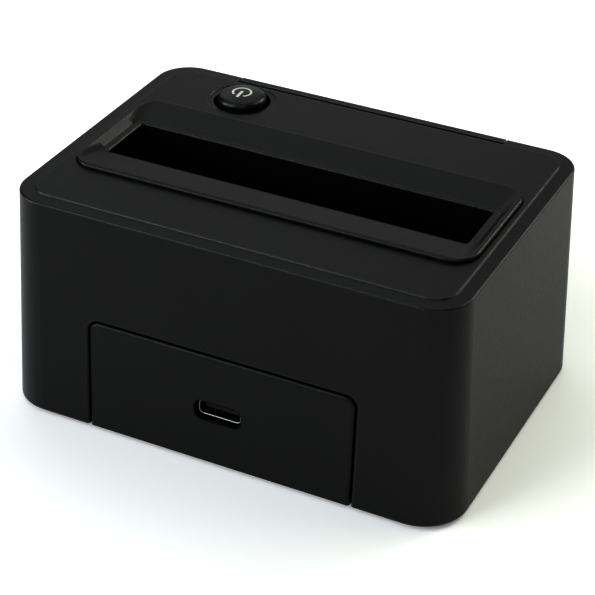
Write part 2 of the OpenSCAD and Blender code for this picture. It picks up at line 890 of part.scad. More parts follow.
// Domed cap: crown and edge are tangent arcs, with a flange below the deck and a socket for the plunger
module power_button() {
    r = cap_d / 2;
    reach = cap_crown_r - cap_edge_r;
    crown_z = z_cap_top - cap_crown_r;
    edge_z = crown_z + sqrt(pow(reach, 2) - pow(r - cap_edge_r, 2));
    z_flange_under = z_cap_flange - cap_flange_t;
    color([0.16, 0.16, 0.17])
        translate([button_x, button_y, 0])
            rotate_extrude()
                difference() {
                    union() {
                        translate([0, z_flange_under])
                            square([r, edge_z - z_flange_under]);
                        translate([0, z_flange_under])
                            square([cap_flange_d / 2, cap_flange_t]);
                        translate([0, z_stem])
                            square([stem_d / 2, stem_h + cap_flange_t / 2]);
                        intersection() {
                            translate([r - cap_edge_r, edge_z])
                                circle(cap_edge_r);
                            translate([0, edge_z - cap_edge_r])
                                square([r, 2 * cap_edge_r]);
                        }
                        intersection() {
                            translate([0, crown_z])
                                circle(cap_crown_r);
                            polygon([[0, crown_z], [2 * (r - cap_edge_r), 2 * edge_z - crown_z],
                                [0, z_cap_top + over]]);
                        }
                    }
                    translate([0, z_stem - over])
                        square([plunger_d / 2 + run, socket_h + over]);
                    translate([-cap_crown_r, crown_z - cap_crown_r])
                        square([cap_crown_r, 2 * cap_crown_r]);
                    translate([0, crown_z - cap_crown_r])
                        square([cap_crown_r, z_stem - crown_z + cap_crown_r]);
                }
}

module switch_plunger() {
    color([0.85, 0.85, 0.82])
        translate([button_x, button_y, 0]) {
            translate([0, 0, z_collar])
                cylinder(d = plunger_d, h = z_plunger - z_collar);
            translate([0, 0, z_collar])
                cylinder(d = collar_d, h = collar_t);
        }
}

module switch_body() {
    color([0.2, 0.2, 0.22])
        difference() {
            translate([button_x - switch_w / 2, button_y - switch_w / 2, z_control])
                cube([switch_w, switch_w, switch_h]);
            translate([button_x, button_y, z_control + switch_floor_t])
                cylinder(d = switch_cavity_d, h = switch_h - switch_floor_t - switch_top_t);
            translate([button_x, button_y, z_control + switch_floor_t])
                cylinder(d = plunger_d + 2 * run, h = switch_h);
        }
}

// Return spring: a round wire on a helix between the cavity's floor and the plunger's collar
module switch_spring() {
    sides = 6;
    rings_per_turn = 10;
    rings = spring_turns * rings_per_turn;
    low = z_control + switch_floor_t + spring_wire / 2 + spring_seat;
    high = z_collar - spring_wire / 2 - spring_seat;
    points = [for (i = [0:rings], s = [0:sides - 1])
        let (turn = 360 * i / rings_per_turn, around = 360 * s / sides,
            out = spring_d / 2 + spring_wire / 2 * cos(around),
            climb = low + (high - low) * i / rings)
            [out * cos(turn), out * sin(turn), climb + spring_wire / 2 * sin(around)]];
    skin = [for (i = [0:rings - 1], s = [0:sides - 1])
        let (a = i * sides + s, b = i * sides + (s + 1) % sides)
            each [[a, a + sides, b], [b, a + sides, b + sides]]];
    caps = [for (s = [1:sides - 2])
        each [[0, s, s + 1], [rings * sides, rings * sides + s + 1, rings * sides + s]]];
    color([0.75, 0.75, 0.78])
        translate([button_x, button_y, 0])
            polyhedron(points, concat(skin, caps));
}

module switch_pins() {
    color([0.8, 0.75, 0.5])
        for (at = switch_pin_places)
            translate([at[0], at[1], z_control - switch_pin_l])
                cylinder(d = switch_pin_d, h = switch_pin_l);
}

module control_board() {
    color([0.1, 0.35, 0.2])
        difference() {
            translate([control_left, control_rear, z_control_under])
                cube([control_right - control_left, control_front - control_rear, board_t]);
            for (at = control_posts)
                pilot(at, small_screw_d, z_control_under, board_t + over);
            for (at = switch_pin_places)
                pilot(at, switch_pin_d, z_control_under, board_t + over);
        }
}

module status_led() {
    lens_r = led_h / 2;
    color([0.95, 0.95, 0.9]) {
        translate([-led_l / 2, led_y, z_control])
            cube([led_l, led_w, led_h]);
        translate([0, led_y + led_w, z_led])
            rotate([-90, 0, 0])
                intersection() {
                    sphere(lens_r);
                    cylinder(r = lens_r, h = lens_r / 2);
                }
    }
}

// Flat cable seen from the side: a stub in each socket and two equal bends between them
module cable_outline() {
    z_low = z_board + socket_t - socket_slot + socket_clear;
    z_high = z_control_under - socket_t + socket_slot - socket_clear;
    stub = socket_slot + stub_l - socket_clear;
    middle = (upper_socket_y + lower_socket_y) / 2;
    translate([lower_socket_y - cable_t / 2, z_low])
        square([cable_t, stub]);
    translate([upper_socket_y - cable_t / 2, z_high - stub])
        square([cable_t, stub]);
    translate([middle, (z_low + z_high) / 2])
        for (turn = [0, 180])
            rotate(turn)
                translate([cable_r - cable_shift / 2, -cable_fall / 2])
                    cable_bend();
}

module cable_bend() {
    intersection() {
        difference() {
            circle(cable_r + cable_t / 2);
            circle(cable_r - cable_t / 2);
        }
        polygon([[0, 0], [-2 * cable_r, 0], 2 * cable_r * [-cos(cable_turn), sin(cable_turn)]]);
    }
}

module flat_cable() {
    color([0.85, 0.85, 0.88])
        translate([cable_x - cable_w / 2, 0, 0])
            rotate([90, 0, 90])
                linear_extrude(cable_w)
                    cable_outline();
}

module cable_sockets() {
    slot_half_l = cable_w / 2 + socket_clear;
    slot_half_t = cable_t / 2 + socket_clear;
    color([0.9, 0.88, 0.8])
        for (end = [[lower_socket_y, z_board, 0], [upper_socket_y, z_control_under, 180]])
            translate([cable_x, end[0], end[1]])
                rotate([end[2], 0, 0])
                    difference() {
                        translate([-socket_l / 2, -socket_w / 2, 0])
                            cube([socket_l, socket_w, socket_t]);
                        translate([-slot_half_l, -slot_half_t, socket_t - socket_slot])
                            cube([2 * slot_half_l, 2 * slot_half_t, socket_slot + over]);
                    }
}

module main_board() {
    color([0.1, 0.35, 0.2])
        difference() {
            translate([-board_half, board_rear, z_board_under])
                cube([2 * board_half, board_front - board_rear, board_t]);
            for (at = board_holes)
                pilot(at, small_screw_d, z_board_under, board_t + over);
        }
}

// Outline of the USB-C shell, grown by a margin
module usb_outline(margin) {
    rounded_rect(usb_l + 2 * margin, usb_h + 2 * margin, usb_r + margin);
}

module usb_shell() {
    color([0.8, 0.8, 0.82])
        translate([0, usb_y + usb_depth, usb_z])
            rotate([90, 0, 0])
                difference() {
                    linear_extrude(usb_depth)
                        usb_outline(0);
                    translate([0, 0, usb_wall])
                        linear_extrude(usb_depth)
                            usb_outline(-usb_wall);
                }
}

module usb_tongue() {
    back = usb_y + usb_depth - usb_wall;
    color([0.12, 0.12, 0.13]) {
        translate([0, back, usb_z])
            rotate([90, 0, 0])
                linear_extrude(usb_back_t)
                    usb_outline(-usb_wall);
        translate([-tongue_l / 2, usb_y + tongue_set_back, usb_z - tongue_t / 2])
            cube([tongue_l, usb_depth - usb_wall - tongue_set_back - usb_back_t / 2, tongue_t]);
    }
}

module usb_contacts() {
    color([0.9, 0.75, 0.35])
        for (i = [0:contacts_per_side - 1], side = [-1, 1])
            translate([(i - (contacts_per_side - 1) / 2) * contact_pitch - contact_w / 2,
                usb_y + tongue_set_back + contact_set_back,
                usb_z + side * (tongue_t + contact_t) / 2 - contact_t / 2])
                cube([contact_w, contact_l, contact_t]);
}

// Cavity of one segment of the receptacle: a slot with a key at its outer end
module sata_cavity(x, l, key_side) {
    translate([x - l / 2, sata_y - cavity_w / 2, z_sata - cavity_depth])
        cube([l, cavity_w, cavity_depth + over]);
    translate([x + key_side * (l - key_w) / 2 - key_w / 2, sata_y - cavity_w / 2, z_sata - cavity_depth])
        cube([key_w, 2 * cavity_w, cavity_depth + over]);
}

module sata_receptacle() {
    color([0.1, 0.1, 0.11])
        difference() {
            union() {
                translate([sata_x - sata_l / 2, sata_y - sata_w / 2, z_board])
                    cube([sata_l, sata_w, sata_h]);
                translate([sata_x - sata_foot_l / 2, sata_y - sata_foot_w / 2, z_board])
                    cube([sata_foot_l, sata_foot_w, sata_foot_h]);
            }
            sata_cavity(signal_x, signal_l, -1);
            sata_cavity(power_x, power_l, 1);
        }
}

module sata_contacts() {
    color([0.9, 0.75, 0.35])
        for (segment = [[signal_x, signal_pins], [power_x, power_pins]])
            for (i = [0:segment[1] - 1])
                translate([segment[0] + (i - (segment[1] - 1) / 2) * pin_pitch - pin_w / 2,
                    sata_y - cavity_w / 2, z_sata - cavity_depth])
                    cube([pin_w, pin_t, cavity_depth - 2 * pin_t]);
}

// Places a component on the main board, along the component row
module on_row(x) {
    translate([x, component_row, z_board])
        children();
}

// Square with its corners cut off, about the origin
module cut_square(l, w, cut) {
    polygon([[l / 2 - cut, -w / 2], [l / 2, cut - w / 2], [l / 2, w / 2 - cut], [l / 2 - cut, w / 2],
        [cut - l / 2, w / 2], [-l / 2, w / 2 - cut], [-l / 2, cut - w / 2], [cut - l / 2, -w / 2]]);
}

module bridge_chip() {
    color([0.12, 0.12, 0.13])
        on_row(bridge_chip_x)
            difference() {
                translate(-[bridge_chip_size[0], bridge_chip_size[1], 0] / 2)
                    cube(bridge_chip_size);
                translate(bridge_chip_size - [bridge_chip_size[0], bridge_chip_size[1], 0] / 2
                    - [chip_mark_inset, chip_mark_inset, chip_mark_depth])
                    cylinder(d = chip_mark_d, h = over);
            }
}

// Package with a wide tab on one side and three leads on the other
module regulator() {
    half_w = regulator_size[1] / 2;
    color([0.12, 0.12, 0.13])
        on_row(regulator_x) {
            translate(-[regulator_size[0], regulator_size[1], 0] / 2)
                cube(regulator_size);
            translate([-regulator_tab_w / 2, 0, 0])
                cube([regulator_tab_w, half_w + regulator_lead_l, regulator_lead_t]);
            for (i = [-1:1])
                translate([i * regulator_lead_pitch - regulator_lead_w / 2, -half_w - regulator_lead_l, 0])
                    cube([regulator_lead_w, half_w + regulator_lead_l, regulator_lead_t]);
        }
}

module inductor() {
    color([0.25, 0.25, 0.27])
        on_row(inductor_x)
            difference() {
                linear_extrude(inductor_size[2])
                    cut_square(inductor_size[0], inductor_size[1], inductor_cut);
                translate([0, 0, inductor_size[2] - inductor_well_depth])
                    cylinder(d = inductor_well_d, h = over);
            }
}

// Cans with a crimp near the foot, each on a square base
module capacitors() {
    color([0.8, 0.8, 0.82])
        for (x = capacitor_xs)
            on_row(x) {
                linear_extrude(capacitor_base_h)
                    cut_square(capacitor_base_w, capacitor_base_w, capacitor_base_cut);
                rotate_extrude()
                    difference() {
                        square([capacitor_d / 2, capacitor_h]);
                        rounding([capacitor_d / 2 - capacitor_edge_r, capacitor_h - capacitor_edge_r],
                            capacitor_edge_r, 0, 90);
                        translate([capacitor_d / 2 + crimp_r / 2, crimp_z])
                            circle(crimp_r);
                    }
            }
}

module crystal() {
    color([0.8, 0.8, 0.82])
        on_row(crystal_x) {
            linear_extrude(crystal_base_t)
                rounded_rect(crystal_size[0], crystal_size[1], crystal_r);
            linear_extrude(crystal_size[2])
                rounded_rect(crystal_size[0] - crystal_step, crystal_size[1] - crystal_step, crystal_r);
        }
}

housing();
drive_bay();
base();
front_fascia();
light_pipe();
foot_rear_left();
foot_rear_right();
foot_front_left();
foot_front_right();
base_screws();
bay_screws();
board_screws();
control_board_screws();
power_button();
switch_plunger();
switch_body();
switch_spring();
switch_pins();
control_board();
status_led();
flat_cable();
cable_sockets();
main_board();
usb_shell();
usb_tongue();
usb_contacts();
sata_receptacle();
sata_contacts();
bridge_chip();
regulator();
inductor();
capacitors();
crystal();
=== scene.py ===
"""Looks of a desktop dock for one drive: finishes, finer pieces and the stage.

The file is laid out as a Blender add-on and run as a script.
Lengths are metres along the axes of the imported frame, which is loaded first.
"""

import math
from typing import NamedTuple

import bpy
import numpy as np
from bpy.props import FloatProperty, FloatVectorProperty, IntProperty, PointerProperty
from bpy.types import Operator, Panel, PropertyGroup
from mathutils import Matrix, Vector


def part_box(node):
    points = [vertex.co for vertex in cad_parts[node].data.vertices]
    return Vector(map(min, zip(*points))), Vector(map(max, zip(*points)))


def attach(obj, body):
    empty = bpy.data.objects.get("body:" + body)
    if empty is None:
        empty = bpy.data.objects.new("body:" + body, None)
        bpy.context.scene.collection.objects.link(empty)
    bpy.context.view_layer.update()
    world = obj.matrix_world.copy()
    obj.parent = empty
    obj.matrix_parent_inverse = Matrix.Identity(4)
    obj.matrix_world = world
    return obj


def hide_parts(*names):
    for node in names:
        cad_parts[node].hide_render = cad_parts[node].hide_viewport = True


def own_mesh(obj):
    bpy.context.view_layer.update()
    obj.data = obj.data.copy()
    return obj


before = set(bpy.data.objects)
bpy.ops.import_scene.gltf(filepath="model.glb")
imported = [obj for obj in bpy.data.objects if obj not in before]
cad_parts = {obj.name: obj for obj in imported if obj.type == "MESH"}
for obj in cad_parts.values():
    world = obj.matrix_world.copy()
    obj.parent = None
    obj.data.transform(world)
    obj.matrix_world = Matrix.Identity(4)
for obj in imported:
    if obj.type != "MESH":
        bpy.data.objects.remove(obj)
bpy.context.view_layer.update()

bl_info = {
    "name": "Drive dock looks",
    "version": (1, 0, 0),
    "blender": (4, 5, 0),
    "location": "3D View > Sidebar > Dock",
    "description": "Finishes, finer pieces and a stage for a desktop drive dock",
    "category": "Object",
}

CAP_LOW, CAP_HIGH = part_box("power_button")
CAP_TOP = Vector(((CAP_LOW.x + CAP_HIGH.x) / 2, (CAP_LOW.y + CAP_HIGH.y) / 2, CAP_HIGH.z))

# Points along and round the new pieces; the wire's steps are those of one turn
STROKE_SIDES = 16
STROKE_STEPS = 65
STROKE_END_STEPS = 9
LIP_STEPS = 13
CORNER_STEPS = 13
WIRE_SIDES = 12
WIRE_STEPS = 24

# Share of a stroke's width that its tips keep, so that the end faces aren't single points
TIP_SHARE = 0.001

# Span that most values of a noise lie in
NOISE_LOW, NOISE_HIGH = 0.3, 0.7

# Rays that look for a neighbouring face round a point
EDGE_SAMPLES = 4

# How well a point's normal matches its neighbours' mean on a flat and on an edge
FLAT_MATCH, EDGE_MATCH = 0.995, 0.93

# Roughness and reflection of the shell and of the cap
SATIN_ROUGHNESS, SATIN_SPECULAR = 0.36, 0.42
CAP_ROUGHNESS, CAP_SPECULAR = 0.3, 0.5

# Nodes of the shell, their finishes and the wear of their edges
SHELL = (
    ("housing", "housing_satin", 1.0),
    ("drive_bay", "bay_satin", 1.0),
    ("base", "base_satin", -0.45),
    ("front_fascia", "fascia_satin", 1.0),
)

# Half the table's width, the point that the lamps face and the nearest that the camera sees
TABLE_HALF = 4.0
LAMP_AIM = Vector((0, 0, 0.02))
CLIP_START = 0.01


class DockPlastic(PropertyGroup):
    """Moulded plastic of the body."""

    colour: FloatVectorProperty(
        name="Colour", description="Colour of the moulded body",
        subtype="COLOR", size=3, min=0, max=1, default=(0.0045, 0.0046, 0.0047))
    cap_colour: FloatVectorProperty(
        name="Cap colour", description="Colour of the button's cap",
        subtype="COLOR", size=3, min=0, max=1, default=(0.010, 0.0102, 0.0102))
    grain: FloatProperty(
        name="Grain", description="Size of the moulded grain's pits",
        unit="LENGTH", min=0.00005, max=0.001, default=0.00045)
    grain_depth: FloatProperty(
        name="Grain depth", description="Depth of the moulded grain",
        unit="LENGTH", min=0, max=0.0001, default=0.00004)
    edge: FloatProperty(
        name="Edge", description="Softness of the edges that the mould leaves sharp",
        unit="LENGTH", min=0, max=0.0005, default=0.00025)
    rub: FloatProperty(
        name="Rub", description="How far from an edge handling has rubbed the grain smooth",
        unit="LENGTH", min=0, max=0.001, default=0.0005)
    shine: FloatProperty(
        name="Shine", description="How much more light the rubbed edges throw back",
        min=0, max=1, default=0.7)


class DockMark(PropertyGroup):
    """Printed power mark on the button's cap."""

    colour: FloatVectorProperty(
        name="Colour", description="Colour of the printed mark",
        subtype="COLOR", size=3, min=0, max=1, default=(0.62, 0.62, 0.60))
    ring: FloatProperty(
        name="Ring", description="Radius of the broken ring's middle line",
        unit="LENGTH", min=0.0005, max=0.004, default=0.00172)
    stroke: FloatProperty(
        name="Stroke", description="Width of the printed line",
        unit="LENGTH", min=0.0001, max=0.001, default=0.00066)
    stem: FloatProperty(
        name="Stem", description="Reach of the stem from the ring's middle",
        unit="LENGTH", min=0.0005, max=0.004, default=0.0023)
    gap: FloatProperty(
        name="Gap", description="Angle that the ring leaves open round the stem",
        subtype="ANGLE", min=0, max=math.pi, default=math.radians(84))
    ink: FloatProperty(
        name="Ink", description="Thickness of the ink above the cap",
        unit="LENGTH", min=0.000005, max=0.0002, default=0.00001)
    crown: FloatProperty(
        name="Crown", description="Radius of the cap's crown under the mark",
        unit="LENGTH", min=0.005, max=0.1, default=0.016)


class DockPort(PropertyGroup):
    """Rolled metal sleeve of the cable socket."""

    wall: FloatProperty(
        name="Wall", description="Thickness of the sleeve and of its rolled lip",
        unit="LENGTH", min=0.0001, max=0.0006, default=0.00038)
    corner: FloatProperty(
        name="Corner", description="Outer radius of the sleeve's corners",
        unit="LENGTH", min=0.0005, max=0.0016, default=0.0011)


class DockSpring(PropertyGroup):
    """Return spring of the switch."""

    wire: FloatProperty(
        name="Wire", description="Thickness of the spring's wire",
        unit="LENGTH", min=0.0001, max=0.0005, default=0.00036)
    turns: IntProperty(
        name="Turns", description="How often the wire goes round",
        min=2, max=8, default=4)


class DockStage(PropertyGroup):
    """Camera and lights."""

    azimuth: FloatProperty(
        name="Azimuth", description="Camera's turn from the port side",
        subtype="ANGLE", default=math.radians(25.343))
    elevation: FloatProperty(
        name="Elevation", description="Camera's angle above the table",
        subtype="ANGLE", default=math.radians(32.157))
    roll: FloatProperty(
        name="Roll", description="Camera's turn about its own axis",
        subtype="ANGLE", default=math.radians(1.404))
    distance: FloatProperty(
        name="Distance", description="From the camera to the point it aims at",
        unit="LENGTH", min=0.05, default=0.37222)
    aim: FloatVectorProperty(
        name="Aim", description="Point that the camera aims at",
        subtype="TRANSLATION", size=3, default=(0.00072, -0.00188, 0.01984))
    lens: FloatProperty(
        name="Lens", description="Focal length on a 36 mm sensor",
        min=10, default=117.55)
    floor_colour: FloatVectorProperty(
        name="Floor", description="Colour of the table",
        subtype="COLOR", size=3, min=0, max=1, default=(0.9, 0.9, 0.9))
    floor_glow: FloatProperty(
        name="Floor glow", description="Light that the lit table sends up by itself",
        min=0, max=2, default=0.23)
    lamp_distance: FloatProperty(
        name="Lamp distance", description="From each lamp to the dock",
        unit="LENGTH", min=0.3, max=5, default=1.2)
    contrast: FloatProperty(
        name="Contrast",
        description="Gamma of the displayed picture; less than one deepens the darks",
        min=0.3, max=2, default=0.6)


class Lamp(NamedTuple):
    """A round soft lamp.

    Its turn from the port side and its rise are in degrees.
    Its power is in watts and its width in metres.
    """

    name: str
    turn: float
    rise: float
    power: float
    width: float
    colour: tuple


LAMPS = (
    Lamp("front_low", 300, 6, 5.0, 0.55, (0.94, 0.97, 1.0)),
    Lamp("front_left", 300, 25, 4.3, 0.55, (0.9, 0.93, 1.0)),
    Lamp("front_high", 324, 50, 1.6, 0.5, (0.96, 0.98, 1.0)),
    Lamp("key", 330, 26, 5.2, 0.6, (0.91, 0.95, 1.0)),
    Lamp("overhead", 268, 72, 3.2, 1.2, (0.95, 0.98, 1.0)),
    Lamp("corner", 128, 46, 2.8, 0.7, (0.98, 1.0, 0.62)),
    Lamp("near_low", 24, 19, 1.7, 1.1, (0.97, 1.0, 0.97)),
    Lamp("near_high", 25, 52, 2.4, 0.95, (0.97, 1.0, 0.95)),
    Lamp("right_side", 90, 14, 0.35, 1.0, (0.97, 1.0, 0.98)),
    Lamp("right_low", 147, 22, 2.2, 0.4, (0.98, 1.0, 0.95)),
    Lamp("right_high", 157, 32, 3.0, 0.55, (0.98, 1.0, 0.95)),
    Lamp("right_top", 158, 64, 1.3, 0.9, (0.98, 1.0, 0.97)),
    Lamp("far_low", 200, 7, 1.1, 1.0, (0.97, 1.0, 0.97)),
    Lamp("far_back", 200, 19, 0.42, 0.6, (0.97, 1.0, 0.97)),
    Lamp("far_left", 230, 26, 0.85, 0.6, (0.96, 1.0, 0.97)),
    Lamp("far_high", 207, 47, 1.7, 0.8, (0.96, 0.99, 0.99)),
)


def tube_faces(rows, columns):
    """Quads between the neighbouring rings of a tube, and a flat face at each end.

    Each ring is one row of points.
    """
    index = np.arange(rows * columns).reshape(rows, columns)
    index = np.hstack([index, index[:, :1]])
    corners = index[:-1, :-1], index[:-1, 1:], index[1:, 1:], index[1:, :-1]
    walls = np.stack([c.ravel() for c in corners], axis=1).tolist()
    return walls + [index[0, -2::-1].tolist(), index[-1, :-1].tolist()]


def new_piece(name, points, faces, material, body):
    """Makes a mesh with smooth walls and flat ends, and lets it ride on a body of the frame."""
    mesh = bpy.data.meshes.new(name)
    mesh.from_pydata(points.reshape(-1, 3), [], faces)
    mesh.materials.append(material)
    mesh.polygons.foreach_set("use_smooth", [len(face) == 4 for face in faces])
    mesh.update()
    piece = bpy.data.objects.new(name, mesh)
    bpy.context.scene.collection.objects.link(piece)
    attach(piece, body)
    return piece


def new_material(name):
    """A material with its tree and its shader."""
    material = bpy.data.materials.new(name)
    material.use_nodes = True
    tree = material.node_tree
    return material, tree, tree.nodes["Principled BSDF"]


def add_node(tree, kind, settings=(), **inputs):
    """Adds a node; an input is a plain value or another node's socket."""
    made = tree.nodes.new("ShaderNode" + kind)
    for name, value in dict(settings).items():
        setattr(made, name, value)
    for name, value in inputs.items():
        socket = made.inputs[name.replace("_", " ")]
        if isinstance(value, bpy.types.NodeSocket):
            tree.links.new(value, socket)
        else:
            socket.default_value = value
    return made


def noise(tree, size, detail=2.0, stretch=None):
    """Noise whose lumps have about this size in metres, on the piece's own coordinates."""
    place = add_node(tree, "TexCoord").outputs["Object"]
    if stretch is not None:
        place = add_node(tree, "Mapping", Vector=place, Scale=stretch).outputs["Vector"]
    return add_node(tree, "TexNoise", Vector=place, Scale=1 / size, Detail=detail).outputs["Fac"]


def spread(tree, value, low, high, bottom=NOISE_LOW, top=NOISE_HIGH):
    """Maps the span from bottom to top, by default a noise's, to the span from low to high."""
    made = add_node(tree, "MapRange", Value=value, From_Min=bottom, From_Max=top,
                    To_Min=low, To_Max=high)
    return made.outputs["Result"]


def tint(tree, value, dark, light):
    """Blends between two colours by a value."""
    made = add_node(tree, "ValToRGB", Fac=value)
    ramp = made.color_ramp
    ramp.elements[0].position, ramp.elements[1].position = NOISE_LOW, NOISE_HIGH
    ramp.elements[0].color = (*dark, 1)
    ramp.elements[1].color = (*light, 1)
    return made.outputs["Color"]


def shades(colour, share):
    """A darker and a lighter shade of a colour."""
    return [c * (1 - share) for c in colour], [min(1, c * (1 + share)) for c in colour]


def rubbed_edges(tree, reach):
    """One along the edges and nought on the flats: where the normal leaves its neighbours' mean."""
    mean = add_node(tree, "Bevel", {"samples": EDGE_SAMPLES}, Radius=reach).outputs["Normal"]
    own = add_node(tree, "NewGeometry").outputs["Normal"]
    facing = tree.nodes.new("ShaderNodeVectorMath")
    facing.operation = "DOT_PRODUCT"
    tree.links.new(mean, facing.inputs[0])
    tree.links.new(own, facing.inputs[1])
    return spread(tree, facing.outputs["Value"], 0, 1, bottom=FLAT_MATCH, top=EDGE_MATCH)


def moulded_plastic(name, colour, roughness, specular, plastic, wear=1.0, grain_share=1.0):
    """Spark-eroded moulding: fine pits and cloudy colour.

    Wear is the share by which its edges are softened and rubbed bright.
    Less than nought dulls them with dust.
    """
    material, tree, shader = new_material(name)
    cloud = noise(tree, size=0.012, detail=3)
    tree.links.new(tint(tree, cloud, *shades(colour, share=0.12)), shader.inputs["Base Color"])
    rough = spread(tree, noise(tree, size=0.0007), low=roughness - 0.02, high=roughness + 0.02)
    tree.links.new(rough, shader.inputs["Roughness"])
    rubbed = rubbed_edges(tree, plastic.rub)
    bright = specular + plastic.shine * wear
    level = spread(tree, rubbed, specular, bright, bottom=0, top=1)
    tree.links.new(level, shader.inputs["Specular IOR Level"])
    soft = add_node(tree, "Bevel", {"samples": EDGE_SAMPLES}, Radius=plastic.edge * max(wear, 0))
    pits = noise(tree, plastic.grain, detail=1)
    bump = add_node(tree, "Bump", Height=pits, Strength=1.0,
                    Distance=plastic.grain_depth * grain_share, Normal=soft.outputs["Normal"])
    tree.links.new(bump.outputs["Normal"], shader.inputs["Normal"])
    return material


def printed_ink(mark):
    """Screen-printed ink, a little uneven."""
    material, tree, shader = new_material("printed_ink")
    cloud = noise(tree, size=0.0004)
    tree.links.new(tint(tree, cloud, *shades(mark.colour, share=0.06)), shader.inputs["Base Color"])
    rough = spread(tree, noise(tree, size=0.0003), low=0.4, high=0.55)
    tree.links.new(rough, shader.inputs["Roughness"])
    return material


def plated_metal(name, colour, roughness, stretch):
    """Metal with fine lines drawn one way, and gloss that follows them."""
    material, tree, shader = new_material(name)
    shader.inputs["Metallic"].default_value = 1.0
    lines = noise(tree, size=0.0004, detail=3, stretch=stretch)
    tree.links.new(tint(tree, lines, *shades(colour, share=0.08)), shader.inputs["Base Color"])
    rough = spread(tree, lines, low=roughness - 0.06, high=roughness + 0.08)
    tree.links.new(rough, shader.inputs["Roughness"])
    bump = add_node(tree, "Bump", Height=lines, Strength=0.3, Distance=0.000005)
    tree.links.new(bump.outputs["Normal"], shader.inputs["Normal"])
    return material


def matt_compound(name, colour, roughness, lump):
    """Rubber, nylon or epoxy with an even, fine lumpy skin, and colour in wider patches."""
    material, tree, shader = new_material(name)
    skin = noise(tree, lump, detail=3)
    patches = noise(tree, size=12 * lump)
    tree.links.new(tint(tree, patches, *shades(colour, share=0.15)), shader.inputs["Base Color"])
    rough = spread(tree, skin, low=roughness - 0.05, high=roughness + 0.05)
    tree.links.new(rough, shader.inputs["Roughness"])
    bump = add_node(tree, "Bump", Height=skin, Strength=0.5, Distance=lump / 20)
    tree.links.new(bump.outputs["Normal"], shader.inputs["Normal"])
    return material


def clear_plastic():
    """Polished clear moulding with a trace of flow lines."""
    material, tree, shader = new_material("clear_plastic")
    shader.inputs["Base Color"].default_value = (0.86, 0.9, 0.94, 1)
    shader.inputs["Transmission Weight"].default_value = 0.85
    shader.inputs["IOR"].default_value = 1.49
    rough = spread(tree, noise(tree, size=0.001), low=0.05, high=0.14)
    tree.links.new(rough, shader.inputs["Roughness"])
    return material


def board_laminate():
    """Solder mask over copper tracks: tracks show as lighter, raised lines."""
    material, tree, shader = new_material("board_laminate")
    place = add_node(tree, "TexCoord").outputs["Object"]
    tracks = add_node(tree, "TexBrick", {"offset": 0.37, "squash": 1.6, "squash_frequency": 3},
                      Vector=place, Scale=1.0, Mortar_Size=0.00022,
                      Brick_Width=0.0046, Row_Height=0.0017)
    track = tracks.outputs["Fac"]
    mask = tint(tree, track, dark=(0.008, 0.05, 0.022), light=(0.02, 0.11, 0.045))
    tree.links.new(mask, shader.inputs["Base Color"])
    rough = spread(tree, noise(tree, size=0.003), low=0.28, high=0.4)
    tree.links.new(rough, shader.inputs["Roughness"])
    bump = add_node(tree, "Bump", Height=track, Strength=0.4, Distance=0.00003)
    tree.links.new(bump.outputs["Normal"], shader.inputs["Normal"])
    return material


def paint(nodes, material):
    """Gives CAD nodes their material."""
    for name in nodes:
        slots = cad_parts[name].material_slots
        slots[0].material = material


def flat_tube(path, across, half_width, ink):
    """A flattened tube: each point of the path carries an ellipse, half_width wide and ink high."""
    turn = np.linspace(0, 2 * np.pi, STROKE_SIDES, endpoint=False)
    side = across[:, None, :] * (half_width[:, None] * np.cos(turn))[..., None]
    rise = np.stack([np.zeros_like(turn), np.zeros_like(turn), np.sin(turn)], axis=-1)
    return path[:, None, :] + side + ink * rise


def stroke_ends(length, half):
    """Stations along a stroke with round ends, and the half width at each."""
    bend = np.linspace(0, np.pi / 2, STROKE_END_STEPS)
    middle = np.linspace(0, length, STROKE_STEPS)
    along = np.concatenate([-half * np.cos(bend)[:-1], middle, length + half * np.sin(bend)[1:]])
    full = np.full(STROKE_STEPS, half)
    width = np.concatenate([half * np.sin(bend)[:-1], full, half * np.cos(bend)[1:]])
    return along, np.maximum(width, half * TIP_SHARE)


def direction(turn, rise):
    """Unit vector at a turn from the port side and a rise above the table."""
    level = math.cos(rise)
    return Vector((math.sin(turn) * level, -math.cos(turn) * level, math.sin(rise)))


class DOCK_OT_shell(Operator):
    """Finishes the housing, the drive bay, the base and the fascia"""

    bl_idname = "dock.shell"
    bl_label = "Finish the shell"

    def execute(self, context):
        plastic = context.scene.dock_plastic
        for node, finish, wear in SHELL:
            satin = moulded_plastic(
                finish, plastic.colour, SATIN_ROUGHNESS, SATIN_SPECULAR, plastic, wear=wear)
            paint([node], satin)
        return {"FINISHED"}


